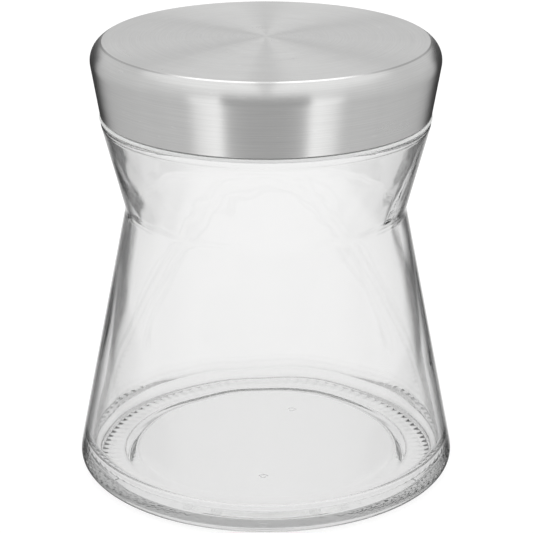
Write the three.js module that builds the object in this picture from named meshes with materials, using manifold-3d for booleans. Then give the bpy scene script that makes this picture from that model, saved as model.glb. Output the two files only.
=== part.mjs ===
// A waisted one-litre glass jar for coins, with a brushed steel lid that opens by a quarter turn.
// The jar is one piece of moulded glass with a lug thread round its neck. The lid is a drawn steel shell
// over a moulded plastic liner, which holds the lugs, and a soft ring seals the liner to the glass rim.
// Millimetres, +Z up, with the origin in the middle of the surface that the jar stands on.
import * as THREE from "three";
import { mergeVertices } from "three/addons/utils/BufferGeometryUtils.js";
import Module from "manifold-3d";

const wasm = await Module();
wasm.setup();

const SEGMENTS = 64; // facets round every turned piece
const ARC_STEP = 18; // degrees of a rounded corner in one facet
const MERGE_DISTANCE = 1e-3; // points closer than this are one point

// The jar's outside. Its two cones meet at the waist.
const FOOT_RADIUS = 62.3; // where the lower cone would meet the table
const FOOT_ROUND = 4;
const WAIST_RADIUS = 44.87;
const WAIST_HEIGHT = 87.6;
const WAIST_ROUND = 4.8;
const SHOULDER_RADIUS = 52.65;
const SHOULDER_HEIGHT = 117.4;
const SHOULDER_ROUND = 1.2;

// The jar's neck, which the lid hides
const NECK_RADIUS = 47.6;
const NECK_ROUND = 1;
const RIM_HEIGHT = 136.2;
const RIM_ROUND = 1.4;
const BORE_RADIUS = 44.4;

// The jar's inside and its base
const WALL = 3.2;
const INNER_SHOULDER_RADIUS = 48.9;
const INNER_SHOULDER_HEIGHT = 115.6;
const INNER_SHOULDER_ROUND = 0.8;
const THROAT_HEIGHT = 116.5; // where the inside turns up into the bore
const THROAT_ROUND = 1;
const FLOOR_HEIGHT = 4.6;
const FLOOR_CROWN = 0.4;
const FLOOR_ROUND = 6;
const PUNT_HEIGHT = 2.6; // how far the underside is pushed up inside the ring that it stands on
const PUNT_RADIUS = 42.5;
const PUNT_ROUND = 3;
const STANDING_RING_INNER = 47;
const STANDING_RING_ROUND = 2.5;

// The lug thread: four ridges on the glass, and four lugs in the liner that hook under them
const STARTS = 4;
const LEAD = 16; // how far a full turn lifts the lid
const THREAD_DEPTH = 1.4;
const RIDGE_STEP = 6; // degrees of a ridge in one facet
const RUN_OUT = 0.16; // share of a ridge over which each end sinks into the wall
const SUNK_DEPTH = 0.3; // how far under the wall a ridge's crest starts and ends
const RIDGE_SWEEP = 96; // degrees that one glass ridge runs
const RIDGE_HEIGHT = 127.2; // the middle of a ridge at the middle of its run
const RIDGE_ROOT_WIDTH = 2.4;
const RIDGE_CREST_WIDTH = 1.1;
const LUG_SWEEP = 34;
const LUG_ROOT_WIDTH = 1.9;
const LUG_CREST_WIDTH = 1.0;
const LUG_DROP = 2.05; // the lug's middle runs this far under the ridge's
const LUG_TURN = -20; // degrees from the ridge's middle to the lug's, when the lid is closed
const RUNNING_GAP = 0.5;

// The lid's steel shell
const LID_HEIGHT = 142;
const LID_CROWN = 0.8;
const LID_FACE_RADIUS = 51.4; // where the flat top ends
const LID_RADIUS = 55;
const LID_WIDEST_HEIGHT = 135.8;
const LID_EDGE_RADIUS = 52.4;
const LID_EDGE_HEIGHT = 118.9;
const SHOULDER_STEPS = 6; // facets of the rounded shoulder
const STEEL = 0.6;
const HEM_DEPTH = 0.7;

// The plastic liner
const LINER_WALL = 1.5;
const LINER_TOP = 140.2;
const LINER_PLATE = 1.6;
const LINER_CORNER_ROUND = 1.2;
const FLANGE_RADIUS = 52.6;
const FLANGE_THICKNESS = 1.1;
const RIBS = 24;
const RIB_WIDTH = 1.2;
const RIB_BOTTOM = 121.3;
const RIB_TOP = 134.8;

// The sealing ring, which lies on the glass rim
const SEAL_INNER = 43.9;
const SEAL_OUTER = 48.6;
const SEAL_THICKNESS = 1.9;

const FIT_GAP = 0.3; // between pieces that rest on each other
const EMBED = 0.5; // how deep a ridge, lug or rib is rooted in its wall

const degrees = THREE.MathUtils.degToRad;

// The points of an outline with rounded corners. A corner is [radius, height, round].
function rounded(corners) {
  const points = [];
  corners.forEach(([x, y, round = 0], i) => {
    const corner = new THREE.Vector2(x, y);
    if (!round) {
      points.push(corner);
      return;
    }
    const before = new THREE.Vector2(...corners[i - 1]).sub(corner).normalize();
    const after = new THREE.Vector2(...corners[i + 1]).sub(corner).normalize();
    const half = Math.acos(before.dot(after)) / 2;
    const middle = before.clone().add(after).normalize();
    const centre = corner.clone().addScaledVector(middle, round / Math.sin(half));
    const start = corner.clone().addScaledVector(before, round / Math.tan(half)).sub(centre);
    const end = corner.clone().addScaledVector(after, round / Math.tan(half)).sub(centre);
    const turn = Math.atan2(start.cross(end), start.dot(end));
    const steps = Math.max(1, Math.round(Math.abs(turn) / degrees(ARC_STEP)));
    for (let k = 0; k <= steps; k++) {
      const arm = start.clone().rotateAround(new THREE.Vector2(), (turn * k) / steps);
      points.push(arm.add(centre));
    }
  });
  return points;
}

// A turned piece about the Z axis, from an outline of [radius, height] points
function turned(points) {
  return new THREE.LatheGeometry(points, SEGMENTS).rotateX(Math.PI / 2);
}

// A ring-shaped piece, whose outline closes on itself
function ring(points) {
  return turned([...points, points[0].clone()]);
}

// One thread ridge. Its section is a trapezium that stands on the wall at rootRadius and reaches height
// outwards, or inwards if height is negative, and it runs in and out of the wall at its two ends.
function helicalRidge({ rootRadius, height, rootWidth, crestWidth, middleAngle, sweep, middleHeight }) {
  const steps = Math.ceil(sweep / RIDGE_STEP);
  const outwards = Math.sign(height);
  const positions = [];
  const faces = [];
  for (let k = 0; k <= steps; k++) {
    const share = k / steps;
    const turn = degrees(sweep * (share - 0.5));
    const angle = degrees(middleAngle) + turn;
    const z = middleHeight + (LEAD * turn) / (2 * Math.PI);
    const full = THREE.MathUtils.smoothstep(Math.min(share, 1 - share), 0, RUN_OUT);
    const inner = rootRadius - outwards * EMBED;
    const crest = THREE.MathUtils.lerp(rootRadius - outwards * SUNK_DEPTH, rootRadius + height, full);
    const section = [
      [inner, -rootWidth / 2],
      [crest, -crestWidth / 2],
      [crest, crestWidth / 2],
      [inner, rootWidth / 2],
    ];
    for (const [r, dz] of section) {
      positions.push(r * Math.cos(angle), r * Math.sin(angle), z + dz);
    }
    if (k === steps) break;
    for (let s = 0; s < 4; s++) {
      const a = 4 * k + s;
      const b = 4 * k + ((s + 1) % 4);
      faces.push([a, b, b + 4], [a, b + 4, a + 4]);
    }
  }
  const last = 4 * steps;
  faces.push([0, 2, 1], [0, 3, 2], [last, last + 1, last + 2], [last, last + 2, last + 3]);
  const facing = outwards > 0 ? faces.map(([a, b, c]) => [a, c, b]) : faces;
  const geometry = new THREE.BufferGeometry();
  geometry.setAttribute("position", new THREE.Float32BufferAttribute(positions, 3));
  return geometry.setIndex(facing.flat());
}

// A closed geometry as a solid that can be joined and cut
function solid(geometry) {
  geometry.deleteAttribute("normal");
  geometry.deleteAttribute("uv");
  const merged = mergeVertices(geometry, MERGE_DISTANCE);
  return new wasm.Manifold(
    new wasm.Mesh({
      numProp: 3,
      vertProperties: new Float32Array(merged.attributes.position.array),
      triVerts: new Uint32Array(merged.index.array),
    }),
  );
}

// A solid's surface as a geometry with flat-shaded faces
function surface(made) {
  const { vertProperties, triVerts } = made.getMesh();
  const geometry = new THREE.BufferGeometry();
  geometry.setAttribute("position", new THREE.BufferAttribute(vertProperties, 3));
  geometry.setIndex(new THREE.BufferAttribute(triVerts, 1));
  const flat = geometry.toNonIndexed();
  flat.computeVertexNormals();
  return flat;
}

// Joins several closed geometries into one
function joined(geometries) {
  return surface(geometries.map(solid).reduce((whole, piece) => whole.add(piece)));
}

function glassJar() {
  const lowerSlope = (FOOT_RADIUS - WAIST_RADIUS) / WAIST_HEIGHT;
  const innerFoot = FOOT_RADIUS - WALL - lowerSlope * FLOOR_HEIGHT;
  const body = turned(
    rounded([
      [0, PUNT_HEIGHT],
      [PUNT_RADIUS, PUNT_HEIGHT, PUNT_ROUND],
      [STANDING_RING_INNER, 0, STANDING_RING_ROUND],
      [FOOT_RADIUS, 0, FOOT_ROUND],
      [WAIST_RADIUS, WAIST_HEIGHT, WAIST_ROUND],
      [SHOULDER_RADIUS, SHOULDER_HEIGHT, SHOULDER_ROUND],
      [NECK_RADIUS, SHOULDER_HEIGHT, NECK_ROUND],
      [NECK_RADIUS, RIM_HEIGHT, RIM_ROUND],
      [BORE_RADIUS, RIM_HEIGHT, RIM_ROUND],
      [BORE_RADIUS, THROAT_HEIGHT, THROAT_ROUND],
      [INNER_SHOULDER_RADIUS, INNER_SHOULDER_HEIGHT, INNER_SHOULDER_ROUND],
      [WAIST_RADIUS - WALL, WAIST_HEIGHT, WAIST_ROUND + WALL],
      [innerFoot, FLOOR_HEIGHT, FLOOR_ROUND],
      [0, FLOOR_HEIGHT + FLOOR_CROWN],
    ]),
  );
  const ridges = Array.from({ length: STARTS }, (_, i) =>
    helicalRidge({
      rootRadius: NECK_RADIUS,
      height: THREAD_DEPTH,
      rootWidth: RIDGE_ROOT_WIDTH,
      crestWidth: RIDGE_CREST_WIDTH,
      middleAngle: (360 / STARTS) * i,
      sweep: RIDGE_SWEEP,
      middleHeight: RIDGE_HEIGHT,
    }),
  );
  return joined([body, ...ridges]);
}

// Where the steel's outer face is at a height on the lid's tapered side
function shellRadius(z) {
  const share = (z - LID_EDGE_HEIGHT) / (LID_WIDEST_HEIGHT - LID_EDGE_HEIGHT);
  return THREE.MathUtils.lerp(LID_EDGE_RADIUS, LID_RADIUS, share);
}

// The shell's rounded shoulder: a quarter of an ellipse from the flat top to the widest point, drawn in
// by inset, from the outside inwards or back
function shellShoulder(inset) {
  const curve = new THREE.EllipseCurve(
    LID_FACE_RADIUS,
    LID_WIDEST_HEIGHT,
    LID_RADIUS - LID_FACE_RADIUS - inset,
    LID_HEIGHT - LID_WIDEST_HEIGHT - inset,
    0,
    Math.PI / 2,
  );
  return curve.getPoints(SHOULDER_STEPS);
}

function lidShell() {
  const innerFace = new THREE.Vector2(0, LID_HEIGHT + LID_CROWN - STEEL);
  const outerFace = new THREE.Vector2(0, LID_HEIGHT + LID_CROWN);
  const hemInner = LID_EDGE_RADIUS - STEEL - HEM_DEPTH;
  return turned([
    innerFace,
    ...shellShoulder(STEEL).reverse(),
    new THREE.Vector2(shellRadius(LID_EDGE_HEIGHT + STEEL) - STEEL, LID_EDGE_HEIGHT + STEEL),
    new THREE.Vector2(hemInner, LID_EDGE_HEIGHT + STEEL),
    new THREE.Vector2(hemInner, LID_EDGE_HEIGHT),
    new THREE.Vector2(LID_EDGE_RADIUS, LID_EDGE_HEIGHT),
    ...shellShoulder(0),
    outerFace,
  ]);
}

function lidLiner() {
  const threadBore = NECK_RADIUS + THREAD_DEPTH + RUNNING_GAP;
  const outside = threadBore + LINER_WALL;
  const flangeTop = LID_EDGE_HEIGHT - FIT_GAP;
  const flangeBottom = flangeTop - FLANGE_THICKNESS;
  const grooveTop = LID_EDGE_HEIGHT + STEEL + FIT_GAP;
  const grooveRadius = LID_EDGE_RADIUS - STEEL - HEM_DEPTH - FIT_GAP;
  const underPlate = LINER_TOP - LINER_PLATE;
  const cup = turned(
    rounded([
      [0, underPlate],
      [threadBore, underPlate],
      [threadBore, flangeBottom],
      [FLANGE_RADIUS, flangeBottom],
      [FLANGE_RADIUS, flangeTop],
      [grooveRadius, flangeTop],
      [grooveRadius, grooveTop],
      [outside, grooveTop],
      [outside, LINER_TOP, LINER_CORNER_ROUND],
      [0, LINER_TOP],
    ]),
  );
  const lugs = Array.from({ length: STARTS }, (_, i) =>
    helicalRidge({
      rootRadius: threadBore,
      height: -THREAD_DEPTH,
      rootWidth: LUG_ROOT_WIDTH,
      crestWidth: LUG_CREST_WIDTH,
      middleAngle: (360 / STARTS) * i + LUG_TURN,
      sweep: LUG_SWEEP,
      middleHeight: RIDGE_HEIGHT - LUG_DROP + (LEAD * LUG_TURN) / 360,
    }),
  );
  // upright ribs centre the steel shell on the liner
  const profile = new THREE.Shape([
    new THREE.Vector2(outside - EMBED, RIB_BOTTOM),
    new THREE.Vector2(shellRadius(RIB_BOTTOM) - STEEL - FIT_GAP, RIB_BOTTOM),
    new THREE.Vector2(shellRadius(RIB_TOP) - STEEL - FIT_GAP, RIB_TOP),
    new THREE.Vector2(outside - EMBED, RIB_TOP),
  ]);
  const ribs = Array.from({ length: RIBS }, (_, i) =>
    new THREE.ExtrudeGeometry(profile, { depth: RIB_WIDTH, bevelEnabled: false })
      .translate(0, 0, -RIB_WIDTH / 2)
      .rotateX(Math.PI / 2)
      .rotateZ((2 * Math.PI * (i + 0.5)) / RIBS),
  );
  return joined([cup, ...lugs, ...ribs]);
}

function sealingRing() {
  const bottom = RIM_HEIGHT + FIT_GAP;
  return ring([
    new THREE.Vector2(SEAL_INNER, bottom),
    new THREE.Vector2(SEAL_OUTER, bottom),
    new THREE.Vector2(SEAL_OUTER, bottom + SEAL_THICKNESS),
    new THREE.Vector2(SEAL_INNER, bottom + SEAL_THICKNESS),
  ]);
}

const glass = new THREE.MeshStandardMaterial({
  color: 0xf2f5f5,
  roughness: 0.03,
  metalness: 0,
  transparent: true,
  opacity: 0.35,
});
const brushedSteel = new THREE.MeshStandardMaterial({ color: 0xc9c9c8, roughness: 0.32, metalness: 1 });
const milkyPlastic = new THREE.MeshStandardMaterial({ color: 0xe9ebea, roughness: 0.45, metalness: 0 });
const softSilicone = new THREE.MeshStandardMaterial({ color: 0xf4f4f2, roughness: 0.6, metalness: 0 });

function piece(name, geometry, material) {
  const mesh = new THREE.Mesh(geometry, material);
  mesh.name = name;
  return mesh;
}

const jar = new THREE.Group();
jar.add(
  piece("glass_jar", glassJar(), glass),
  piece("lid_shell", lidShell(), brushedSteel),
  piece("lid_liner", lidLiner(), milkyPlastic),
  piece("sealing_ring", sealingRing(), softSilicone),
);

export default jar;
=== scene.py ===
"""A waisted glass coin jar with a brushed steel lid that opens by a quarter turn, in a plain white studio.

The jar is one piece of moulded glass. The lid is a spun steel shell over a milky plastic liner with four
lugs, and a soft ring seals the liner to the rim. Outlines are in millimetres, as (radius, height) about the
jar's axis; meshes are in metres.
"""

import logging
import math
from collections.abc import Callable, Sequence
from dataclasses import dataclass, field
from enum import Enum

import bpy
import numpy as np
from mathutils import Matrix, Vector


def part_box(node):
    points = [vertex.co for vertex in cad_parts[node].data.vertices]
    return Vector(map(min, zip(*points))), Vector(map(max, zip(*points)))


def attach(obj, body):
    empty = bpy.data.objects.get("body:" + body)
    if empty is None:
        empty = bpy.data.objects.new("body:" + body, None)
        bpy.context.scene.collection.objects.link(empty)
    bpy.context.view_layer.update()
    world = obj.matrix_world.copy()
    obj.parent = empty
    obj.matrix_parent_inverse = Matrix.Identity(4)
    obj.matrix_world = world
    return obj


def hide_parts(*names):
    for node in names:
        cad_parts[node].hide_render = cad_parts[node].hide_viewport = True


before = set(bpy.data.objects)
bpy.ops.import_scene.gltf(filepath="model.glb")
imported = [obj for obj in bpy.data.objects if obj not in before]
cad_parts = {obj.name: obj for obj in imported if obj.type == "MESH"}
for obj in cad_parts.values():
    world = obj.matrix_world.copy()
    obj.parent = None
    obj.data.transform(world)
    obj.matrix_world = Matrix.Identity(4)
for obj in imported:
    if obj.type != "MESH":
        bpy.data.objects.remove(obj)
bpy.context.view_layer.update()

MM = 0.001
TURN = 2 * math.pi

log = logging.getLogger("coin_jar")

Socket = bpy.types.NodeSocket
Value = Socket | float
Point = tuple[float, float]
Inputs = dict[str | int, Value | tuple | str | bpy.types.ID]


# ---------------------------------------------------------------------------------------------- node trees


class Graph:
    """A node tree being built, with short calls that add nodes and join them."""

    def __init__(self, tree: bpy.types.NodeTree) -> None:
        """Starts from an empty tree.

        Args:
            tree: The shader or geometry tree to fill.
        """
        self.tree = tree
        tree.nodes.clear()

    def add(self, kind: str, inputs: Inputs | None = None, **settings) -> bpy.types.Node:
        """Adds a node.

        Args:
            kind: The node's type name, such as "ShaderNodeMath".
            inputs: What goes into its sockets: another socket, which is linked, or a plain value.
            settings: The node's own properties.

        Returns:
            The new node.
        """
        node = self.tree.nodes.new(kind)
        for name, value in settings.items():
            setattr(node, name, value)
        for name, value in (inputs or {}).items():
            self.put(node.inputs[name], value)
        return node

    def put(self, socket: Socket, value: Value | tuple | str) -> None:
        """Links a socket into an input, or sets the input's plain value."""
        if isinstance(value, bpy.types.NodeSocket):
            self.tree.links.new(value, socket)
        else:
            socket.default_value = value

    def math(self, operation: str, *values: Value) -> Socket:
        """Adds a Math node and returns its result."""
        node = self.add("ShaderNodeMath", dict(enumerate(values)), operation=operation)
        return node.outputs[0]

    def vector(self, operation: str, *values: Value) -> bpy.types.Node:
        """Adds a Vector Math node and returns the node."""
        return self.add("ShaderNodeVectorMath", dict(enumerate(values)), operation=operation)

    def split(self, vector: Socket) -> tuple[Socket, Socket, Socket]:
        """Returns a vector's x, y and z."""
        node = self.add("ShaderNodeSeparateXYZ", {0: vector})
        return node.outputs[0], node.outputs[1], node.outputs[2]

    def combine(self, x: Value, y: Value, z: Value) -> Socket:
        """Returns the vector of three values."""
        return self.add("ShaderNodeCombineXYZ", {0: x, 1: y, 2: z}).outputs[0]

    def radius(self, x: Value, y: Value) -> Socket:
        """Returns the distance from the axis."""
        squares = self.math("ADD", self.math("MULTIPLY", x, x), self.math("MULTIPLY", y, y))
        return self.math("SQRT", squares)

    def blend(
        self, value: Value, low: float, high: float, at_low: float = 0.0, at_high: float = 1.0
    ) -> Socket:
        """Maps a value smoothly from one range to another.

        Args:
            value: What is mapped.
            low: Where the result is at_low, and below.
            high: Where the result is at_high, and above.
            at_low: The result at low.
            at_high: The result at high.

        Returns:
            The mapped value's socket.
        """
        inputs = {"Value": value, "From Min": low, "From Max": high, "To Min": at_low, "To Max": at_high}
        return self.add("ShaderNodeMapRange", inputs, interpolation_type="SMOOTHSTEP").outputs["Result"]

    def mix(self, share: Value, low: Value, high: Value) -> Socket:
        """Mixes two plain values by a share from 0 to 1."""
        rest = self.math("SUBTRACT", 1.0, share)
        return self.math("ADD", self.math("MULTIPLY", high, share), self.math("MULTIPLY", low, rest))

    def noise(self, vector: Value, scale: float, detail: float = 2.0, roughness: float = 0.5) -> Socket:
        """Adds a Noise Texture and returns its factor."""
        inputs = {"Vector": vector, "Scale": scale, "Detail": detail, "Roughness": roughness}
        return self.add("ShaderNodeTexNoise", inputs).outputs["Fac"]

    def ramp(self, share: Socket, stops: Sequence[Point]) -> Socket:
        """Adds a ramp of grey levels.

        Args:
            share: The place on the ramp, from 0 to 1.
            stops: Pairs of a place and the level there, with straight stretches between them.

        Returns:
            The level's socket.
        """
        node = self.add("ShaderNodeValToRGB", {0: share})
        node.color_ramp.interpolation = "LINEAR"
        elements = node.color_ramp.elements
        while len(elements) < len(stops):
            elements.new(0.5)
        for element, (place, level) in zip(elements, stops):
            element.position = place
            element.color = (level, level, level, 1.0)
        return node.outputs["Color"]


def new_material(name: str) -> tuple[bpy.types.Material, Graph, bpy.types.Node]:
    """Makes a material that holds one Principled shader.

    Args:
        name: The material's name.

    Returns:
        The material, its graph and the Principled node.
    """
    material = bpy.data.materials.new(name)
    material.use_nodes = True
    graph = Graph(material.node_tree)
    shader = graph.add("ShaderNodeBsdfPrincipled")
    output = graph.add("ShaderNodeOutputMaterial")
    graph.put(output.inputs["Surface"], shader.outputs["BSDF"])
    return material, graph, shader


# ------------------------------------------------------------------------------------------------ finishes


@dataclass(frozen=True)
class ClearGlass:
    """Clear moulded flint glass, fire-polished, with the faint unevenness of a pressed mould."""

    name: str = "clear_moulded_glass"
    tint: tuple[float, float, float] = (0.988, 0.988, 0.987)
    ior: float = 1.52
    absorption: tuple[float, float, float] = (0.46, 0.465, 0.462)
    density: float = 7.0
    # painted shade: how much the glass's colour is darkened on an upright wall seen at a grazing angle, over
    # which facing range, and on how upright a wall
    painted_edge_shade: float = 0.82
    edge_angles: Point = (0.66, 0.79)
    edge_lean: Point = (0.5, 0.7)
    ripple_scale: float = 46.0
    ripple_height: float = 0.00012
    skin_scale: float = 414.0
    skin_height: float = 0.0000024
    bump: float = 0.55
    underside: Point = (0.0030, 0.0038)
    pip_radius: float = 0.0011
    pip_height: float = 0.0002
    pips: tuple[Point, ...] = ((0.0095, 0.0265), (-0.0008, -0.0265))

    def build(self) -> bpy.types.Material:
        """Makes the material: a clear rippled surface with painted shade at its edges, and a pale grey body.
        """
        material, graph, shader = new_material(self.name)
        place = graph.add("ShaderNodeTexCoord").outputs["Object"]
        ripple = graph.noise(place, self.ripple_scale, detail=1.0, roughness=0.4)
        skin = graph.noise(place, self.skin_scale, detail=2.0)
        height = graph.math("MULTIPLY", ripple, self.ripple_height)
        height = graph.math("ADD", height, graph.math("MULTIPLY", skin, self.skin_height))
        height = graph.math("ADD", height, self._pips(graph, place))
        bump = graph.add("ShaderNodeBump", {"Strength": self.bump, "Distance": 1.0, "Height": height})
        # painted shade: the glass's colour is scaled down where an upright wall is seen at a grazing angle
        tint = graph.vector("SCALE", self.tint)
        graph.put(tint.inputs["Scale"], graph.math("SUBTRACT", 1.0, self._painted_edge_shade(graph)))
        graph.put(shader.inputs["Base Color"], tint.outputs["Vector"])
        graph.put(shader.inputs["Normal"], bump.outputs["Normal"])
        shader.inputs["Roughness"].default_value = 0.0
        shader.inputs["IOR"].default_value = self.ior
        shader.inputs["Transmission Weight"].default_value = 1.0
        inputs = {"Color": (*self.absorption, 1.0), "Density": self.density}
        body = graph.add("ShaderNodeVolumeAbsorption", inputs)
        output = next(n for n in graph.tree.nodes if n.type == "OUTPUT_MATERIAL")
        graph.put(output.inputs["Volume"], body.outputs["Volume"])
        return material

    def _pips(self, graph: Graph, place: Socket) -> Socket:
        """The height of the small moulded rings under the base."""
        x, y, z = graph.split(place)
        under = graph.blend(z, *self.underside, 1.0, 0.0)
        height: Value = 0.0
        for px, py in self.pips:
            away = graph.vector("DISTANCE", graph.combine(x, y, 0.0), (px, py, 0.0)).outputs["Value"]
            ring = graph.math("ABSOLUTE", graph.math("SUBTRACT", away, self.pip_radius))
            bead = graph.blend(ring, 0.0, self.pip_radius * 0.45, self.pip_height, 0.0)
            height = graph.math("ADD", height, graph.math("MULTIPLY", bead, under))
        return height

    def _painted_edge_shade(self, graph: Graph) -> Socket:
        """The painted shade on an upright wall, darker where the wall is seen at a grazing angle."""
        graze = graph.add("ShaderNodeLayerWeight", {"Blend": 0.5}).outputs["Facing"]
        _, _, lean = graph.split(graph.add("ShaderNodeTexCoord").outputs["Normal"])
        wall = graph.blend(graph.math("ABSOLUTE", lean), *self.edge_lean, 1.0, 0.0)
        return graph.math("MULTIPLY", graph.blend(graze, *self.edge_angles, 0.0, self.painted_edge_shade), wall)


@dataclass(frozen=True)
class BrushedSteel:
    """Stainless steel brushed in circles. Needs a UV map whose U runs across the brushing, in metres."""

    name: str = "circle_brushed_steel"
    colour: tuple[float, float, float] = (0.66, 0.66, 0.655)
    roughness: float = 0.29
    anisotropy: float = 1.0
    lines_per_metre: float = 3600.0
    line_bend: float = 2.6
    line_contrast: float = 0.26
    broad_coarser: float = 14.0
    broad_contrast: float = 0.06
    ray_scale: float = 9.0
    ray_contrast: float = 0.05
    scratch_coarser: float = 5.0
    scratch_bend: float = 11.0
    scratch_share: float = 0.70
    scratch_tone: float = 0.06
    # the rim's painted highlight at its front and back and painted shade at its sides, which also make it
    # glossier and duller: its place, width, sideways reach, side value, tone and polish
    rim_radius: float = 0.05165
    rim_height: float = 0.1413
    rim_width: float = 0.00042
    rim_highlight_reach: Point = (0.018, 0.034)
    rim_side_shade: float = -0.6
    rim_highlight_tone: float = 0.42
    rim_polish: float = 0.12

    def build(self) -> bpy.types.Material:
        """Makes the material: fine circular lines in tone, gloss and height, and a glossier rim with a
        painted highlight at its front and back and painted shade at its sides.
        """
        material, graph, shader = new_material(self.name)
        across, around, _ = graph.split(graph.add("ShaderNodeUVMap").outputs["UV"])
        turn = graph.math("MULTIPLY", around, TURN)
        cosine, sine = graph.math("COSINE", turn), graph.math("SINE", turn)

        def lines(per_metre: float, bend: float, detail: float) -> Socket:
            """Noise drawn out along the brushing."""
            vector = graph.combine(
                graph.math("MULTIPLY", across, per_metre),
                graph.math("MULTIPLY", cosine, bend),
                graph.math("MULTIPLY", sine, bend),
            )
            return graph.noise(vector, 1.0, detail=detail, roughness=0.6)

        fine = lines(self.lines_per_metre, self.line_bend, 3.0)
        broad = lines(self.lines_per_metre / self.broad_coarser, self.line_bend * 0.8, 2.0)
        rays = graph.noise(graph.combine(cosine, sine, 0.0), self.ray_scale, detail=3.0)
        stray = lines(self.lines_per_metre / self.scratch_coarser, self.scratch_bend, 1.0)
        stray = graph.blend(stray, self.scratch_share, self.scratch_share + 0.05)
        tone = graph.math("MULTIPLY", fine, self.line_contrast)
        tone = graph.math("ADD", tone, graph.math("MULTIPLY", broad, self.broad_contrast))
        tone = graph.math("ADD", tone, graph.math("MULTIPLY", rays, self.ray_contrast))
        tone = graph.math("ADD", tone, graph.math("MULTIPLY", stray, self.scratch_tone))
        contrast = self.line_contrast + self.broad_contrast + self.ray_contrast
        tone = graph.math("ADD", tone, 1.0 - 0.5 * contrast)
        # painted highlight and shade: the rim's tone is raised at its front and back and lowered at its sides
        rim = self._rim_highlight_and_polish(graph)
        tone = graph.math("MULTIPLY_ADD", rim, self.rim_highlight_tone, tone)
        colour = graph.vector("SCALE", self.colour)
        graph.put(colour.inputs["Scale"], tone)
        graph.put(shader.inputs["Base Color"], colour.outputs["Vector"])
        gloss = graph.math("ADD", self.roughness - 0.04, graph.math("MULTIPLY", broad, 0.08))
        gloss = graph.math("MULTIPLY_ADD", rim, -self.rim_polish, gloss)
        graph.put(shader.inputs["Roughness"], gloss)
        bump = graph.add("ShaderNodeBump", {"Strength": 0.10, "Distance": 0.00004, "Height": fine})
        graph.put(shader.inputs["Normal"], bump.outputs["Normal"])
        shader.inputs["Metallic"].default_value = 1.0
        shader.inputs["Anisotropic"].default_value = self.anisotropy
        tangent = graph.add("ShaderNodeTangent", direction_type="UV_MAP")
        graph.put(shader.inputs["Tangent"], tangent.outputs["Tangent"])
        return material

    def _rim_highlight_and_polish(self, graph: Graph) -> Socket:
        """1 along the top's rim at its front and back, where a highlight is painted and the steel is
        glossier, less than 0 at its sides, where shade is painted and the steel is duller, and 0 elsewhere.
        """
        x, y, z = graph.split(graph.add("ShaderNodeTexCoord").outputs["Object"])
        away = graph.math("ABSOLUTE", graph.math("SUBTRACT", graph.radius(x, y), self.rim_radius))
        near = graph.blend(away, self.rim_width * 0.4, self.rim_width, 1.0, 0.0)
        near = graph.math("MULTIPLY", near, graph.math("GREATER_THAN", z, self.rim_height))
        highlit_or_shaded = graph.blend(graph.math("ABSOLUTE", x), *self.rim_highlight_reach, 1.0, self.rim_side_shade)
        return graph.math("MULTIPLY", near, highlit_or_shaded)


@dataclass(frozen=True)
class MouldedPolymer:
    """A pale, slightly see-through moulded plastic or rubber with a satin, faintly mottled skin."""

    name: str
    colour: tuple[float, float, float]
    roughness: float
    grain_scale: float
    grain_height: float
    glow: float
    glow_depth: float = 0.002
    roughness_swing: float = 0.07
    # painted glow: how strongly the plastic emits white light, and the radius from the axis within which it
    # does
    painted_glow: float = 0.22
    painted_glow_within: float = 0.0500

    def build(self) -> bpy.types.Material:
        """Makes the material: mottled tone, a moulded grain, light that sinks in, and a painted glow near the
        axis.
        """
        material, graph, shader = new_material(self.name)
        place = graph.add("ShaderNodeTexCoord").outputs["Object"]
        cloud = graph.noise(place, 60.0, detail=3.0)
        grain = graph.noise(place, self.grain_scale, detail=3.0)
        tone = graph.blend(cloud, 0.25, 0.8, 0.95, 1.04)
        colour = graph.vector("SCALE", self.colour)
        graph.put(colour.inputs["Scale"], tone)
        graph.put(shader.inputs["Base Color"], colour.outputs["Vector"])
        low, high = self.roughness - self.roughness_swing, self.roughness + self.roughness_swing
        graph.put(shader.inputs["Roughness"], graph.blend(grain, 0.2, 0.8, low, high))
        bump = graph.add("ShaderNodeBump", {"Strength": 0.35, "Distance": self.grain_height, "Height": grain})
        graph.put(shader.inputs["Normal"], bump.outputs["Normal"])
        shader.inputs["Subsurface Weight"].default_value = self.glow
        shader.inputs["Subsurface Radius"].default_value = (1.0, 1.0, 1.0)
        shader.inputs["Subsurface Scale"].default_value = self.glow_depth
        x, y, _ = graph.split(place)
        # painted glow: the plastic emits white light within a radius of the axis, inside the steel where no
        # lamp reaches
        shader.inputs["Emission Color"].default_value = (1.0, 1.0, 1.0, 1.0)
        within = self.painted_glow_within
        inside = graph.blend(graph.radius(x, y), within, within + 0.001, self.painted_glow, 0.0)
        graph.put(shader.inputs["Emission Strength"], inside)
        return material


class Finish(Enum):
    """The finishes of this jar, each with the record's slot that it stands for."""

    GLASS = ("clear_glass", ClearGlass())
    STEEL = ("brushed_steel", BrushedSteel())
    LINER = (
        "milky_plastic",
        MouldedPolymer("milky_polypropylene", (0.92, 0.93, 0.92), 0.42, 2600.0, 0.00003, 0.35),
    )
    SEAL = (
        "soft_silicone",
        MouldedPolymer("soft_white_silicone", (0.88, 0.88, 0.86), 0.55, 4200.0, 0.00002, 0.5),
    )

    @property
    def slot(self) -> str:
        """The record's material slot."""
        return self.value[0]

    def material(self) -> bpy.types.Material:
        """The finish's material, made the first time that it is asked for."""
        recipe = self.value[1]
        return bpy.data.materials.get(recipe.name) or recipe.build()


# ------------------------------------------------------------------------------------------ turned shapes


@dataclass(frozen=True)
class Corner:
    """One corner of an outline, in millimetres, with the radius that rounds it."""

    radius: float
    height: float
    rounding: float = 0.0


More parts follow.
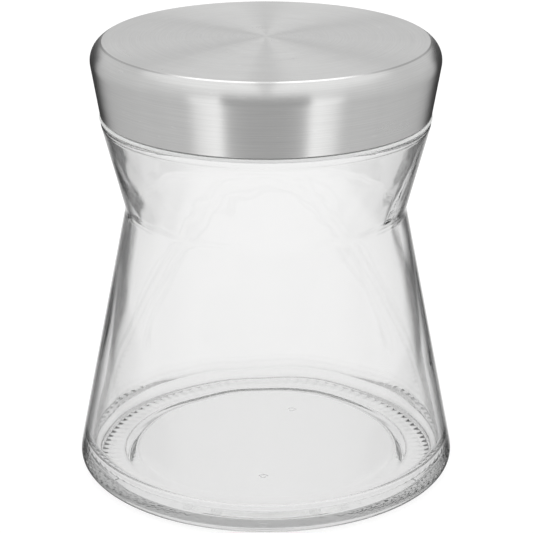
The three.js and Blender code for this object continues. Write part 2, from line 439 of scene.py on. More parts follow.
@dataclass(frozen=True)
class Outline:
    """The section of a turned piece, from its corners, with arcs at the rounded ones.

    Args:
        corners: The corners in order.
        closed: Whether the last corner joins the first, as in a ring. Otherwise both ends lie on the axis.
        arc_step: Degrees of an arc between two points.
        longest: The longest straight stretch without a point, in millimetres.
        edge: How close to each arc a straight stretch has a point, in millimetres.
    """

    corners: tuple[Corner, ...]
    closed: bool = False
    arc_step: float = 11.0
    longest: float = 3.0
    edge: float = 0.3

    def _arc(self, before: Corner, corner: Corner, after: Corner) -> list[Vector]:
        """The points of one rounded corner."""
        at = Vector((corner.radius, corner.height))
        back = (Vector((before.radius, before.height)) - at).normalized()
        ahead = (Vector((after.radius, after.height)) - at).normalized()
        half = math.acos(max(-1.0, min(1.0, back.dot(ahead)))) / 2
        centre = at + (back + ahead).normalized() * (corner.rounding / math.sin(half))
        start = at + back * (corner.rounding / math.tan(half)) - centre
        end = at + ahead * (corner.rounding / math.tan(half)) - centre
        turn = math.atan2(start.x * end.y - start.y * end.x, start.dot(end))
        steps = max(2, round(abs(math.degrees(turn)) / self.arc_step))
        cosines = [(math.cos(turn * k / steps), math.sin(turn * k / steps)) for k in range(steps + 1)]
        return [centre + Vector((start.x * c - start.y * s, start.x * s + start.y * c)) for c, s in cosines]

    def points(self) -> np.ndarray:
        """The outline's points, in millimetres, as rows of radius and height."""
        count = len(self.corners)
        made: list[Vector] = []
        for i, corner in enumerate(self.corners):
            if corner.rounding:
                made += self._arc(self.corners[i - 1], corner, self.corners[(i + 1) % count])
            else:
                made.append(Vector((corner.radius, corner.height)))
        filled: list[Vector] = []
        pairs = zip(made, made[1:] + made[:1] if self.closed else made[1:])
        for start, end in pairs:
            filled.append(start)
            length = (end - start).length
            if length > 4 * self.edge:
                steps = max(1, math.ceil((length - 2 * self.edge) / self.longest))
                inner = [self.edge + (length - 2 * self.edge) * k / steps for k in range(steps + 1)]
                filled += [start + (end - start) * (way / length) for way in inner]
        if not self.closed:
            filled.append(made[-1])
        return np.array([tuple(p) for p in filled])


Relief = Callable[[np.ndarray, np.ndarray, np.ndarray], tuple[np.ndarray, np.ndarray]]


def turned_mesh(name: str, outline: Outline, segments: int, relief: Relief | None = None) -> bpy.types.Mesh:
    """Turns an outline about the jar's axis into a closed, smooth mesh.

    Args:
        name: The mesh's name.
        outline: The section. Its material lies on the left of its direction of travel.
        segments: How many facets go round.
        relief: Takes arrays of angle, radius and height, in radians and millimetres, and returns the radius
            and height that they become.

    Returns:
        The mesh, with a UV map whose U is the way along the outline in metres and V the share of a turn.
    """
    section = outline.points()
    way = np.concatenate([[0.0], np.cumsum(np.hypot(*np.diff(section, axis=0).T))]) * MM
    capped = not outline.closed
    body = section[1:-1] if capped else section
    angles = np.arange(segments) * TURN / segments
    angle, radius = np.meshgrid(angles, body[:, 0])
    height = np.meshgrid(angles, body[:, 1])[1]
    if relief:
        radius, height = relief(angle, radius, height)
    ring = np.stack([radius * np.cos(angle), radius * np.sin(angle), height], axis=-1).reshape(-1, 3)
    rows = len(body)
    vertices = ring.tolist()
    faces: list[tuple[int, ...]] = []
    uvs: list[Point] = []
    ways = way[1:-1] if capped else way

    def corner_uv(row: int, column: int) -> Point:
        """The UV of a grid point, where column may be one past the last."""
        length = way[-1] + np.hypot(*(section[0] - section[-1])) * MM if row == rows else ways[row]
        return float(length), column / segments

    spans = rows - 1 if capped else rows
    for row in range(spans):
        low, high = row * segments, ((row + 1) % rows) * segments
        for column in range(segments):
            after = (column + 1) % segments
            faces.append((low + column, low + after, high + after, high + column))
            here = [corner_uv(row, column), corner_uv(row, column + 1)]
            uvs += [*here, corner_uv(row + 1, column + 1), corner_uv(row + 1, column)]
    if capped:
        for pole, row, length in ((0, 0, way[0]), (-1, rows - 1, way[-1])):
            vertices.append((0.0, 0.0, float(section[pole, 1])))
            tip = len(vertices) - 1
            for column in range(segments):
                after = (column + 1) % segments
                here, there = row * segments + column, row * segments + after
                middle = (float(length), (column + 0.5) / segments)
                edge = [corner_uv(row, column), corner_uv(row, column + 1)]
                faces.append((tip, there, here) if pole == 0 else (tip, here, there))
                uvs += [middle, edge[1], edge[0]] if pole == 0 else [middle, *edge]
    mesh = bpy.data.meshes.new(name)
    mesh.from_pydata([tuple(c * MM for c in v) for v in vertices], [], faces)
    mesh.uv_layers.new(name="UVMap").data.foreach_set("uv", np.array(uvs, np.float32).ravel())
    return finished(mesh)


def finished(mesh: bpy.types.Mesh, crease: float = 40.0) -> bpy.types.Mesh:
    """Smooths a mesh's faces, keeps its edges crisp past an angle in degrees, and returns it."""
    mesh.validate()
    mesh.polygons.foreach_set("use_smooth", [True] * len(mesh.polygons))
    mesh.set_sharp_from_angle(angle=math.radians(crease))
    mesh.update()
    return mesh


def signed_volume(mesh: bpy.types.Mesh) -> float:
    """The volume inside a closed mesh in cubic centimetres, negative if its faces point inwards."""
    mesh.calc_loop_triangles()
    corners = np.zeros(len(mesh.vertices) * 3, np.float64)
    mesh.vertices.foreach_get("co", corners)
    index = np.zeros(len(mesh.loop_triangles) * 3, np.int32)
    mesh.loop_triangles.foreach_get("vertices", index)
    a, b, c = corners.reshape(-1, 3)[index.reshape(-1, 3)].transpose(1, 0, 2)
    return float(np.einsum("ij,ij->i", a, np.cross(b, c)).sum() / 6 * 1e6)


def add_piece(name: str, mesh: bpy.types.Mesh, finish: Finish, body: str, node: str) -> bpy.types.Object:
    """Puts a finished mesh into the scene as a piece of the jar.

    Args:
        name: The piece's name.
        mesh: Its mesh, in place.
        finish: Its finish.
        body: The body that it moves with.
        node: The part that it stands for.

    Returns:
        The piece.
    """
    piece = bpy.data.objects.new(name, mesh)
    bpy.context.scene.collection.objects.link(piece)
    if not mesh.materials:
        mesh.materials.append(finish.material())
    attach(piece, body)
    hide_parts(node)
    volume = signed_volume(mesh)
    log.info("%s: %d faces, %.1f cubic centimetres, on %s", name, len(mesh.polygons), volume, body)
    return piece


# ------------------------------------------------------------------------------------------ geometry nodes


class Tree:
    """A Geometry Nodes tree with named number inputs, used once on a mesh and then made plain."""

    def __init__(self, name: str, sizes: dict[str, float]) -> None:
        """Makes the tree's sockets.

        Args:
            name: The tree's name.
            sizes: The named inputs and the values that they are set to.
        """
        self.tree = bpy.data.node_groups.new(name, "GeometryNodeTree")
        self.graph = Graph(self.tree)
        self.sizes = sizes
        interface = self.tree.interface
        interface.new_socket("Geometry", in_out="INPUT", socket_type="NodeSocketGeometry")
        interface.new_socket("Geometry", in_out="OUTPUT", socket_type="NodeSocketGeometry")
        self.identifiers = {
            key: interface.new_socket(key, in_out="INPUT", socket_type="NodeSocketFloat").identifier
            for key in sizes
        }
        self.input = self.graph.add("NodeGroupInput")

    def size(self, key: str) -> Socket:
        """A named input's socket inside the tree."""
        return self.input.outputs[key]

    def end(self, geometry: Socket, material: bpy.types.Material) -> None:
        """Ends the tree in Realize Instances and Set Material."""
        real = self.graph.add("GeometryNodeRealizeInstances", {"Geometry": geometry})
        inputs = {"Geometry": real.outputs[0], "Material": material}
        dressed = self.graph.add("GeometryNodeSetMaterial", inputs)
        self.graph.add("NodeGroupOutput", {0: dressed.outputs[0]})

    def apply(self, mesh: bpy.types.Mesh) -> bpy.types.Mesh:
        """Runs the tree on a mesh.

        Args:
            mesh: The mesh that goes in. It is left as it was.

        Returns:
            The plain mesh that comes out.
        """
        carrier = bpy.data.objects.new(self.tree.name, mesh)
        bpy.context.scene.collection.objects.link(carrier)
        modifier = carrier.modifiers.new(self.tree.name, "NODES")
        modifier.node_group = self.tree
        for key, identifier in self.identifiers.items():
            modifier[identifier] = float(self.sizes[key])
        depsgraph = bpy.context.evaluated_depsgraph_get()
        made = bpy.data.meshes.new_from_object(carrier.evaluated_get(depsgraph), depsgraph=depsgraph)
        carrier.modifiers.remove(modifier)
        bpy.data.objects.remove(carrier)
        return made


def knurl_tree(sizes: dict[str, float], material: bpy.types.Material) -> Tree:
    """The tree that presses a knurl up into the ring that the jar stands on.

    Args:
        sizes: "Ribs", then "Depth", "Inner", "Outer" and "Ramp" in metres, and "Slant" in radians of a rib's
            wave per metre outwards.
        material: The glass.

    Returns:
        The tree.
    """
    tree = Tree("knurled_standing_ring", sizes)
    graph = tree.graph
    place = graph.add("GeometryNodeInputPosition").outputs[0]
    x, y, z = graph.split(place)
    radius = graph.radius(x, y)
    lean = graph.math("MULTIPLY", graph.math("SUBTRACT", radius, tree.size("Inner")), tree.size("Slant"))
    turn = graph.math("MULTIPLY_ADD", graph.math("ARCTAN2", y, x), tree.size("Ribs"), lean)
    groove = graph.math("MULTIPLY_ADD", graph.math("COSINE", turn), -0.5, 0.5)
    inwards = graph.math("DIVIDE", graph.math("SUBTRACT", radius, tree.size("Inner")), tree.size("Ramp"))
    outwards = graph.math("DIVIDE", graph.math("SUBTRACT", tree.size("Outer"), radius), tree.size("Ramp"))
    inside = graph.math("MULTIPLY", graph.blend(inwards, 0.0, 1.0), graph.blend(outwards, 0.0, 1.0))
    under = graph.blend(z, 0.0006, 0.0012, 1.0, 0.0)
    depth = graph.math("MULTIPLY", tree.size("Depth"), under)
    lift = graph.math("MULTIPLY", graph.math("MULTIPLY", groove, inside), depth)
    inputs = {"Geometry": tree.input.outputs["Geometry"], "Offset": graph.combine(0.0, 0.0, lift)}
    moved = graph.add("GeometryNodeSetPosition", inputs)
    tree.end(moved.outputs[0], material)
    return tree


def circle_tree(
    name: str,
    sizes: dict[str, float],
    parts: list[tuple[bpy.types.Object, str]],
    material: bpy.types.Material,
) -> Tree:
    """The tree that sets copies of small parts round the axis and adds them to the mesh that goes in.

    Args:
        name: The tree's name.
        sizes: The number of copies of each part, by name, and "First Turn" in radians.
        parts: Each small part, in its place at angle 0, with the name of its number.
        material: What the whole is made of.

    Returns:
        The tree.
    """
    tree = Tree(name, sizes)
    graph = tree.graph
    joined = graph.add("GeometryNodeJoinGeometry")
    graph.put(joined.inputs[0], tree.input.outputs["Geometry"])
    for part, key in parts:
        count = tree.size(key)
        points = graph.add("GeometryNodePoints", {"Count": count})
        index = graph.add("GeometryNodeInputIndex").outputs[0]
        step = graph.math("DIVIDE", TURN, count)
        turn = graph.math("ADD", graph.math("MULTIPLY", index, step), tree.size("First Turn"))
        shape = graph.add("GeometryNodeObjectInfo", {"Object": part}, transform_space="ORIGINAL")
        rotation = graph.combine(0.0, 0.0, turn)
        inputs = {"Points": points.outputs[0], "Instance": shape.outputs["Geometry"], "Rotation": rotation}
        copies = graph.add("GeometryNodeInstanceOnPoints", inputs)
        graph.put(joined.inputs[0], copies.outputs[0])
    tree.end(joined.outputs[0], material)
    return tree


# --------------------------------------------------------------------------------------- the jar's pieces


@dataclass
class Thread:
    """The quarter-turn thread: helical ridges on the neck, and the lugs that hook under them."""

    starts: int = 4
    lead: float = 16.0
    depth: float = 1.4
    ridge_sweep: float = 96.0
    ridge_height: float = 127.2
    ridge_root: float = 2.4
    ridge_crest: float = 1.1
    lug_sweep: float = 34.0
    lug_root: float = 1.9
    lug_crest: float = 1.0
    lug_drop: float = 2.05
    lug_turn: float = -20.0
    run_out: float = 0.16

    def ridge(self, angle: np.ndarray, height: np.ndarray) -> np.ndarray:
        """How far the ridges stand out of the neck.

        Args:
            angle: The angles of the neck's points, in radians.
            height: Their heights, in millimetres.

        Returns:
            The ridges' height at each point, in millimetres.
        """
        pitch = TURN / self.starts
        local = (angle + pitch / 2) % pitch - pitch / 2
        sweep = math.radians(self.ridge_sweep)
        raised = np.zeros_like(height)
        for shift in (-pitch, 0.0, pitch):
            turn = local + shift
            share = np.clip(turn / sweep + 0.5, 0, 1)
            away = np.abs(height - (self.ridge_height + self.lead * turn / TURN))
            slope = (self.ridge_root / 2 - away) / (self.ridge_root / 2 - self.ridge_crest / 2)
            end = smooth(np.minimum(share, 1 - share) / self.run_out)
            raised = np.maximum(raised, self.depth * end * smooth(slope))
        return raised

    def lug_mesh(self, wall: float) -> bpy.types.Mesh:
        """Makes one lug, which points inwards from a wall.

        Args:
            wall: The wall's inner radius in millimetres.

        Returns:
            The lug's closed mesh, where it is when the lid is shut.
        """
        embed, steps, sides = 0.6, 22, 9
        middle = math.radians(self.lug_turn)
        centre = self.ridge_height - self.lug_drop + self.lead * self.lug_turn / 360
        vertices: list[Point] = []
        for k in range(steps + 1):
            share = k / steps
            turn = math.radians(self.lug_sweep) * (share - 0.5)
            full = float(smooth(np.array(min(share, 1 - share) / self.run_out)))
            for s in range(sides):
                across = 2 * s / (sides - 1) - 1
                crown = math.sqrt(max(0.0, 1 - abs(across) ** 3))
                radius = wall + embed - crown * (embed * 0.5 + (embed * 0.5 + self.depth) * full)
                width = self.lug_root / 2 * (1 - 0.3 * crown)
                z = centre + self.lead * turn / TURN + across * width
                vertices.append((radius * math.cos(middle + turn), radius * math.sin(middle + turn), z))
        faces: list[tuple[int, ...]] = []
        for k in range(steps):
            for s in range(sides):
                a, b = k * sides + s, k * sides + (s + 1) % sides
                faces.append((a, a + sides, b + sides, b))
        faces.append(tuple(range(sides)))
        faces.append(tuple(reversed(range(steps * sides, (steps + 1) * sides))))
        mesh = bpy.data.meshes.new("lug")
        mesh.from_pydata([tuple(c * MM for c in v) for v in vertices], [], faces)
        return outward(finished(mesh))


def smooth(share: np.ndarray) -> np.ndarray:
    """The smooth step of a share, held between 0 and 1."""
    held = np.clip(share, 0, 1)
    return held * held * (3 - 2 * held)


def outward(mesh: bpy.types.Mesh) -> bpy.types.Mesh:
    """Turns a closed mesh's faces to point out of it, and returns it."""
    if signed_volume(mesh) < 0:
        mesh.flip_normals()
    return mesh


@dataclass
class GlassJar:
    """The jar: waisted body, neck with its thread, punted base and knurled standing ring."""

    thread: Thread
    rim_height: float
    foot_radius: float = 62.3
    foot_round: float = 4.0
    waist_radius: float = 44.87
    waist_height: float = 87.6
    waist_round: float = 4.8
    shoulder_radius: float = 52.65
    shoulder_height: float = 117.4
    shoulder_round: float = 1.4
    neck_radius: float = 47.6
    bore_radius: float = 44.4
    wall: float = 3.2
    inner_shoulder: Point = (48.9, 115.6)
    throat_height: float = 116.5
    floor_height: float = 4.6
    floor_crown: float = 0.4
    floor_round: float = 6.0
    punt_height: float = 2.6
    punt_radius: float = 42.5
    standing_inner: float = 47.0
    joint_height: float = 6.2
    joint_proud: float = 0.07
    seam_proud: float = 0.08
    ripple: float = 0.10
    streak: float = 0.05
    segments: int = 480
    ribs: int = 96
    knurl: dict[str, float] = field(
        default_factory=lambda: {
            "Depth": 0.00026,
            "Inner": 0.0508,
            "Outer": 0.0562,
            "Ramp": 0.0012,
            "Slant": 300.0,
        }
    )

    def outline(self) -> Outline:
        """The section, from the middle of the underside, up the outside and down the inside."""
        slope = (self.foot_radius - self.waist_radius) / self.waist_height
        inner_foot = self.foot_radius - self.wall - slope * self.floor_height
        inner_shoulder_radius, inner_shoulder_height = self.inner_shoulder
        return Outline(
            (
                Corner(0, self.punt_height),
                Corner(self.punt_radius, self.punt_height, 3.0),
                Corner(self.standing_inner, 0, 2.5),
                Corner(self.foot_radius, 0, self.foot_round),
                Corner(self.waist_radius, self.waist_height, self.waist_round),
                Corner(self.shoulder_radius, self.shoulder_height, self.shoulder_round),
                Corner(self.neck_radius, self.shoulder_height, 1.0),
                Corner(self.neck_radius, self.rim_height, 1.4),
                Corner(self.bore_radius, self.rim_height, 1.4),
                Corner(self.bore_radius, self.throat_height, 1.0),
                Corner(inner_shoulder_radius, inner_shoulder_height, 0.8),
                Corner(self.waist_radius - self.wall, self.waist_height, self.waist_round + self.wall),
                Corner(inner_foot, self.floor_height, self.floor_round),
                Corner(0, self.floor_height + self.floor_crown),
            ),
            longest=3.6,
            edge=0.35,
        )

    def relief(
        self, angle: np.ndarray, radius: np.ndarray, height: np.ndarray
    ) -> tuple[np.ndarray, np.ndarray]:
        """Adds the thread, the mould's joints and the uneven inner wall.

        Args:
            angle: Each point's angle, in radians.
            radius: Its radius in millimetres.
            height: Its height in millimetres.

        Returns:
            The new radius and height.
        """
        slope = (self.foot_radius - self.waist_radius) / self.waist_height
        outside_cone = self.foot_radius - slope * height
        on_foot = (height > 4.2) & (height < self.waist_height) & (np.abs(radius - outside_cone) < 0.4)
        on_neck = (np.abs(radius - self.neck_radius) < 0.02) & (height > self.shoulder_height)
        made = radius + np.where(on_neck, self.thread.ridge(angle, height), 0.0)
        joint = np.exp(-(((height - self.joint_height) / 0.32) ** 2))
        made += np.where(on_foot, self.joint_proud * joint, 0.0)
        off_seam = np.minimum(np.abs(np.sin(angle)), 1.0) * radius
        below_shoulder = self.shoulder_height - height
        upright = (height > self.foot_round) & (below_shoulder > 1) & (radius > self.bore_radius)
        outer = upright & (self._wall_share(radius, height) > 0.5)
        made += np.where(outer, self.seam_proud * np.exp(-((off_seam / 0.45) ** 2)), 0.0)
        inner = (height > self.floor_height + 1) & (below_shoulder > 2) & ~outer & ~on_neck
        fade = smooth((height - self.floor_height - 12) / 30) * smooth((below_shoulder - 2) / 8)
        wave = (
            np.sin(3 * angle + 0.055 * height)
            + 0.7 * np.sin(5 * angle - 0.09 * height + 1.3)
            + 0.25 * np.sin(11 * angle + 0.16 * height + 0.4)
            + 0.3 * np.sin(0.21 * height + 2 * angle)
            + 0.05 * np.sin(23 * angle - 0.3 * height)
        )
        streaks = np.sin(19 * angle + 0.5 * height) + 0.7 * np.sin(31 * angle - 0.35 * height + 2.0)
        flare = smooth((height - self.waist_height + 6) / 10) * smooth((below_shoulder - 4) / 8)
        made += np.where(inner, self.ripple * fade * wave + self.streak * flare * streaks, 0.0)
        return made, height

    def _wall_share(self, radius: np.ndarray, height: np.ndarray) -> np.ndarray:
        """1 on the outside of the glass and 0 on its inside, by place."""
        foot = self.foot_radius - (self.foot_radius - self.waist_radius) * height / self.waist_height
        rise = (height - self.waist_height) / (self.shoulder_height - self.waist_height)
        flare = self.waist_radius + (self.shoulder_radius - self.waist_radius) * rise
        outside = np.where(height < self.waist_height, foot, flare)
        return (radius > outside - self.wall / 2).astype(float)

    def build(self) -> bpy.types.Object:
        """Makes the jar and puts it in place of the plain one."""
        finish = Finish.GLASS
        smooth_mesh = turned_mesh("jar_before_knurl", self.outline(), self.segments, self.relief)
        tree = knurl_tree({"Ribs": self.ribs, **self.knurl}, finish.material())
        mesh = finished(tree.apply(outward(smooth_mesh)), crease=60.0)
        return add_piece("jar_moulded_glass", mesh, finish, "jar", "glass_jar")


@dataclass
class LidShell:
    """The lid's outside: a steel cup, spun to a flat top with a crisp rim and brushed in circles."""

    top: float
    edge_height: float
    widest: float
    crown: float = 0.8
    face_radius: float = 51.4
    rim_round: float = 0.42
    rim_slope: float = 30.0
    shoulder_round: float = 6.6
    side_top: float = 134.6
    edge_radius: float = 52.4
    steel: float = 0.6
    hem: float = 0.9
    hem_round: float = 0.28
    segments: int = 384

    def _shoulder(self, inset: float) -> tuple[Point, Point, float]:
        """The shoulder arc's two tangents' meeting point, its start and its rounding.

        Args:
            inset: How far inside the steel's outer face, in millimetres.

        Returns:
            The meeting point, the rim's point and the radius of the arc.
        """
        slope = math.radians(self.rim_slope)
        rim_height = self.top - self.crown
        rim = (self.face_radius - inset * 0.6, rim_height - inset)
        lean = (self.widest - self.edge_radius) / (self.side_top - self.edge_height)
        across = self.widest - inset + lean * (rim[1] - self.side_top) - rim[0]
        reach = across / (1 + lean * math.tan(slope))
        meet = (rim[0] + reach, rim[1] - reach * math.tan(slope))
        return meet, rim, self.shoulder_round - inset

    def outline(self) -> Outline:
        """The section, from the middle of the inside, round the hem and back over the outside."""
        outer_meet, rim, outer_round = self._shoulder(0.0)
        inner_meet, inner_rim, inner_round = self._shoulder(self.steel)
        face = self._crown_points()
        lip = self.edge_radius - self.steel - self.hem
        return Outline(
            (
                *[Corner(r, z - self.steel) for r, z in face],
                Corner(*inner_rim, 0.3),
                Corner(*inner_meet, inner_round),
                Corner(self.edge_radius - self.steel + 0.09, self.edge_height + self.steel, 0.2),
                Corner(lip, self.edge_height + self.steel, self.hem_round),
                Corner(lip, self.edge_height, self.hem_round),
                Corner(self.edge_radius, self.edge_height, self.hem_round),
                Corner(*outer_meet, outer_round),
                Corner(*rim, self.rim_round),
                *[Corner(r, z) for r, z in reversed(face)],
            ),
            arc_step=6.0,
            longest=2.4,
            edge=0.2,
        )

    def _crown_points(self) -> list[Point]:
        """Points of the slightly domed top, from the axis outwards."""
        sphere = (self.face_radius**2 + self.crown**2) / (2 * self.crown)
        radii = np.linspace(0, self.face_radius, 18, endpoint=False)
        return [(float(r), self.top - sphere + math.sqrt(sphere**2 - r**2)) for r in radii]

    def build(self) -> bpy.types.Object:
        """Makes the shell and puts it in place of the plain one."""
        mesh = outward(turned_mesh("lid_steel", self.outline(), self.segments))
        return add_piece("lid_steel_shell", mesh, Finish.STEEL, "lid", "lid_shell")


@dataclass
class LidLiner:
    """The plastic cap inside the steel: it holds the lugs, and its flange shows under the steel's edge."""

    thread: Thread
    flange_bottom: float
    steel_edge: float
    neck_radius: float
    top: float = 140.2
    plate: float = 1.6
    wall: float = 1.5
    running_gap: float = 0.5
    fit_gap: float = 0.3
    steel: float = 0.6
    hem: float = 0.9
    flange_radius: float = 52.6
    flange_thickness: float = 1.1
    flange_round: float = 0.35
    edge_radius: float = 52.4
    widest: float = 55.0
    widest_height: float = 135.8
    ribs: int = 24
    rib_width: float = 1.2
    rib_bottom: float = 121.3
    rib_top: float = 134.8

    def outline(self) -> Outline:
        """The section, from the middle of the plate's underside, round the flange and back over the top."""
        bore = self.neck_radius + self.thread.depth + self.running_gap
        outside = bore + self.wall
        under = self.top - self.plate
        flange_top = self.flange_bottom + self.flange_thickness
        groove = self.edge_radius - self.steel - self.hem - self.fit_gap
        groove_top = self.steel_edge + self.steel + self.fit_gap
        land = self.neck_radius - 3.9
        return Outline(
            (
                Corner(0, under),
                Corner(land - 1.6, under),
                Corner(land - 1.2, under - 0.25, 0.1),
                Corner(land - 0.6, under - 0.25, 0.1),
                Corner(land - 0.2, under),
                Corner(bore, under, 1.2),
                Corner(bore, self.flange_bottom, 0.5),
                Corner(self.flange_radius, self.flange_bottom, self.flange_round),
                Corner(self.flange_radius, flange_top, self.flange_round),
                Corner(groove, flange_top, 0.15),
                Corner(groove, groove_top, 0.15),
                Corner(outside, groove_top, 0.3),
                Corner(outside, self.top, 1.2),
                Corner(0, self.top),
            ),
            arc_step=15.0,
            longest=4.0,
            edge=0.2,
        )

    def rib_mesh(self) -> bpy.types.Mesh:
        """One upright rib at angle 0, which fills the gap from the cap to the steel."""
        root = self.neck_radius + self.thread.depth + self.running_gap + self.wall - 0.5
        lean = (self.widest - self.edge_radius) / (self.widest_height - self.steel_edge)
        inset = self.steel + self.fit_gap
        profile = [
            (root, self.rib_bottom),
            (self.edge_radius + lean * (self.rib_bottom - self.steel_edge) - inset, self.rib_bottom + 0.5),
            (self.edge_radius + lean * (self.rib_top - self.steel_edge) - inset, self.rib_top - 0.5),
            (root, self.rib_top),
        ]
        half = self.rib_width / 2
        vertices = [(r, side, z) for side in (-half, half) for r, z in profile]
        sides = [(k, (k + 1) % 4, 4 + (k + 1) % 4, 4 + k) for k in range(4)]
        mesh = bpy.data.meshes.new("rib")
        faces = [(3, 2, 1, 0), (4, 5, 6, 7), *sides]
        mesh.from_pydata([tuple(c * MM for c in v) for v in vertices], [], faces)
        return outward(finished(mesh))

    def build(self) -> bpy.types.Object:
        """Makes the liner with its ribs and lugs and puts it in place of the plain one."""
        finish = Finish.LINER
        bore = self.neck_radius + self.thread.depth + self.running_gap
        small = [
            (bpy.data.objects.new("one_rib", self.rib_mesh()), "Ribs"),
            (bpy.data.objects.new("one_lug", self.thread.lug_mesh(bore)), "Lugs"),
        ]
        cup = outward(turned_mesh("liner_cup", self.outline(), 256))
        sizes = {"Ribs": self.ribs, "Lugs": self.thread.starts, "First Turn": 0.0}
        tree = circle_tree("liner_ribs_and_lugs", sizes, small, finish.material())
        mesh = finished(tree.apply(cup))
        for part, _ in small:
            bpy.data.objects.remove(part)
        return add_piece("lid_plastic_liner", mesh, finish, "lid", "lid_liner")


@dataclass
class SealingRing:
    """The soft ring between the liner and the rim, with two raised beads on its lower face."""

    bottom: float
    top: float
    inner: float = 43.9
    outer: float = 48.6
    bead: float = 0.35

    def outline(self) -> Outline:
        """The ring's section: flat on top, with beads and a groove between them below."""
        valley = self.bottom + self.bead
        middle = (self.inner + self.outer) / 2
        return Outline(
            (
                Corner(self.inner, self.bottom, 0.3),
                Corner(self.inner, self.top, 0.35),
                Corner(self.outer, self.top, 0.35),
                Corner(self.outer, self.bottom, 0.3),
                Corner(self.outer - 1.1, self.bottom, 0.25),
                Corner(self.outer - 1.5, valley, 0.2),
                Corner(middle, valley),
                Corner(self.inner + 1.5, valley, 0.2),
                Corner(self.inner + 1.1, self.bottom, 0.25),
            ),
            closed=True,
            arc_step=18.0,
            edge=0.12,
            longest=1.5,
        )

    def build(self) -> bpy.types.Object:
        """Makes the ring and puts it in place of the plain one."""
        mesh = outward(turned_mesh("seal", self.outline(), 192))
        return add_piece("lid_sealing_ring", mesh, Finish.SEAL, "seal", "sealing_ring")


# ------------------------------------------------------------------------------------------------- studio


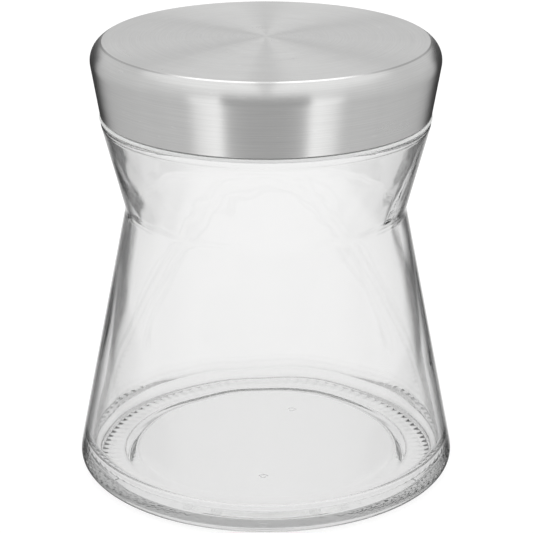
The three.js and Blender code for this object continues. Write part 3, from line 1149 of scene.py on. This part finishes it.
@dataclass
class Studio:
    """A white table under two big soft lights with a gap between them, and a camera in front."""

    distance: float = 0.6879
    elevation: float = 19.85
    look_at: float = 0.070
    lens: float = 143.4
    shift: Point = (0.001, -0.021)
    table_light: float = 0.78
    open_light: float = 0.87
    table_colour: float = 0.2
    table_size: float = 40.0
    table_gap: float = 0.00015
    edge_dimming: float = 0.10
    side_dimming: float = 0.66
    # where the dark panels beside the jar begin and end, sideways and away from the camera
    panel_near: Point = (0.14, 0.17)
    panel_far: Point = (0.26, 0.34)
    panel_front: Point = (-0.16, -0.10)
    panel_back: Point = (0.25, 0.35)
    front_dimming: float = 0.25
    # where the table's light falls off sideways and towards the camera
    edge_reach: Point = (0.03, 0.10)
    front_reach: Point = (-0.18, -0.06)
    # brightness of the room below its dividing line and above it, and that line's height as a share of a
    # right angle, each by degrees round from the camera
    low_levels: tuple[Point, ...] = (
        (0.0, 0.58), (28.5, 0.58), (30.0, 1.5), (48.0, 1.35), (53.0, 0.76),
        (120.0, 0.68), (136.0, 0.62), (145.0, 0.03), (180.0, 0.03),
    )
    high_levels: tuple[Point, ...] = (
        (0.0, 0.95), (60.0, 0.86), (120.0, 0.80), (150.0, 0.80), (180.0, 0.80),
    )
    line_heights: tuple[Point, ...] = (
        (0.0, 0.155), (26.0, 0.155), (36.0, 0.0), (118.0, 0.0), (140.0, 0.13), (166.0, 0.13), (174.0, -0.08),
    )
    # the same for light that has met the glass, which sees dark panels low at the sides
    glass_low_levels: tuple[Point, ...] = (
        (0.0, 0.55), (50.0, 0.4), (70.0, 0.05), (155.0, 0.05), (170.0, 0.85), (180.0, 0.9),
    )
    glass_high_levels: tuple[Point, ...] = (
        (0.0, 0.55), (50.0, 0.5), (90.0, 0.6), (130.0, 0.88), (180.0, 0.9),
    )
    # the shade in front and the two panels overhead: shares of a half turn round, of a right angle up, or of
    # the direction sideways between which each of them comes in
    front_shade: float = 0.40
    shade_round: Point = (0.150, 0.165)
    shade_climb: Point = (-0.18, -0.06)
    panel_light: float = 0.45
    panel_climb: Point = (0.46, 0.52)
    panel_gap: Point = (0.03, 0.07)
    glass_climb: Point = (0.05, 0.14)

    def world(self) -> None:
        """Paints the room's light as a function of direction. The camera itself sees plain white."""
        world = bpy.data.worlds.new("studio_room")
        bpy.context.scene.world = world
        world.use_nodes = True
        graph = Graph(world.node_tree)
        direction = graph.add("ShaderNodeTexCoord").outputs["Generated"]
        x, y, z = graph.split(direction)
        sideways = graph.math("ABSOLUTE", x)
        forward = graph.math("MULTIPLY", y, -1.0)
        round_from_camera = graph.math("DIVIDE", graph.math("ARCTAN2", sideways, forward), math.pi)
        climb = graph.math("DIVIDE", graph.math("ARCSINE", z), math.pi / 2)
        low = self._levels(graph, round_from_camera, self.low_levels)
        high = self._levels(graph, round_from_camera, self.high_levels)
        line = self._levels(graph, round_from_camera, self.line_heights)
        rise = graph.add(
            "ShaderNodeMapRange",
            {"Value": graph.math("SUBTRACT", climb, line), "From Min": -0.025, "From Max": 0.035},
            interpolation_type="SMOOTHSTEP",
        ).outputs["Result"]
        in_front = graph.blend(round_from_camera, *self.shade_round, self.front_shade, 0.0)
        shade = graph.math("MULTIPLY", in_front, graph.blend(climb, *self.shade_climb))
        low = graph.math("SUBTRACT", low, shade)
        room = graph.mix(rise, low, high)
        panels = graph.blend(climb, *self.panel_climb)
        panels = graph.math("MULTIPLY", panels, graph.blend(sideways, *self.panel_gap))
        room = graph.math("ADD", room, graph.math("MULTIPLY", panels, self.panel_light))
        path = graph.add("ShaderNodeLightPath").outputs
        glass_low = self._levels(graph, round_from_camera, self.glass_low_levels)
        glass_high = self._levels(graph, round_from_camera, self.glass_high_levels)
        seen_by_glass = graph.mix(graph.blend(climb, *self.glass_climb), glass_low, glass_high)
        through_or_off_glass = graph.math("MAXIMUM", path["Is Transmission Ray"], path["Is Singular Ray"])
        room = graph.mix(through_or_off_glass, room, seen_by_glass)
        level = graph.mix(path["Is Camera Ray"], room, 1.0)
        background = graph.add("ShaderNodeBackground", {"Color": (1.0, 1.0, 1.0, 1.0), "Strength": level})
        graph.add("ShaderNodeOutputWorld", {"Surface": background.outputs[0]})

    def _levels(self, graph: Graph, share: Socket, levels: Sequence[Point]) -> Socket:
        """A brightness by direction, from pairs of degrees and level, where the level may pass 1."""
        peak = max(level for _, level in levels)
        stops = [(degrees / 180, level / peak) for degrees, level in levels]
        return graph.math("MULTIPLY", graph.ramp(share, stops), peak)

    def table(self) -> None:
        """Lays the pale table, which is lit so evenly that it shows hardly any shadow."""
        half, low = self.table_size / 2, -self.table_gap
        mesh = bpy.data.meshes.new("table")
        corners = [(-half, -half, low), (half, -half, low), (half, half, low), (-half, half, low)]
        mesh.from_pydata(corners, [], [(0, 1, 2, 3)])
        table = bpy.data.objects.new("table", mesh)
        bpy.context.scene.collection.objects.link(table)
        material, graph, shader = new_material("white_table")
        place = graph.add("ShaderNodeTexCoord").outputs["Object"]
        dark, pale = self.table_colour - 0.005, self.table_colour + 0.005
        tone = graph.blend(graph.noise(place, 30.0), 0.2, 0.8, dark, pale)
        graph.put(shader.inputs["Base Color"], graph.combine(tone, tone, tone))
        shader.inputs["Roughness"].default_value = 0.9
        shader.inputs["Specular IOR Level"].default_value = 0.0
        shader.inputs["Emission Color"].default_value = (1.0, 1.0, 1.0, 1.0)
        x, y, _ = graph.split(place)
        away = graph.math("ABSOLUTE", x)
        dim = graph.blend(away, *self.edge_reach, 0.0, self.edge_dimming)
        side = graph.blend(away, *self.panel_near, 0.0, self.side_dimming)
        side = graph.math("MULTIPLY", side, graph.blend(away, *self.panel_far, 1.0, 0.0))
        side = graph.math("MULTIPLY", side, graph.blend(y, *self.panel_front))
        side = graph.math("MULTIPLY", side, graph.blend(y, *self.panel_back, 1.0, 0.0))
        front = graph.blend(y, *self.front_reach, self.front_dimming, 0.0)
        lit = graph.math("SUBTRACT", self.table_light, graph.math("ADD", front, graph.math("ADD", dim, side)))
        camera_ray = graph.add("ShaderNodeLightPath").outputs["Is Camera Ray"]
        graph.put(shader.inputs["Emission Strength"], graph.mix(camera_ray, lit, self.open_light))
        mesh.materials.append(material)
        table.visible_glossy = False

    def camera(self) -> None:
        """Sets the camera in front of the jar, a little above the lid."""
        data = bpy.data.cameras.new("camera")
        data.lens = self.lens
        data.shift_x, data.shift_y = self.shift
        camera = bpy.data.objects.new("camera", data)
        bpy.context.scene.collection.objects.link(camera)
        tilt = math.radians(self.elevation)
        height = self.look_at + self.distance * math.sin(tilt)
        camera.location = (0.0, -self.distance * math.cos(tilt), height)
        camera.rotation_euler = (math.pi / 2 - tilt, 0.0, 0.0)
        bpy.context.scene.camera = camera

    def picture(self) -> None:
        """Sets plain tones, and enough bounces for light to cross the glass and come back."""
        scene = bpy.context.scene
        scene.view_settings.view_transform = "Standard"
        scene.view_settings.look = "None"
        scene.cycles.max_bounces = 40
        scene.cycles.transmission_bounces = 40
        scene.cycles.glossy_bounces = 40
        scene.cycles.caustics_refractive = True
        scene.cycles.caustics_reflective = True

    def build(self) -> None:
        """Sets up the room, the table, the camera and the picture."""
        self.world()
        self.table()
        self.camera()
        self.picture()


def main() -> None:
    """Builds the studio and the jar's four pieces."""
    logging.basicConfig(level=logging.INFO, format="%(message)s")
    Studio().build()
    glass_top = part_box("glass_jar")[1].z / MM
    shell_low, shell_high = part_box("lid_shell")
    seal_low, seal_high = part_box("sealing_ring")
    thread = Thread()
    jar = GlassJar(thread, rim_height=glass_top)
    jar.build()
    LidShell(top=shell_high.z / MM, edge_height=shell_low.z / MM, widest=shell_high.x / MM).build()
    LidLiner(
        thread,
        flange_bottom=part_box("lid_liner")[0].z / MM,
        steel_edge=shell_low.z / MM,
        neck_radius=jar.neck_radius,
    ).build()
    SealingRing(bottom=seal_low.z / MM, top=seal_high.z / MM).build()


if __name__ == "__main__":
    main()
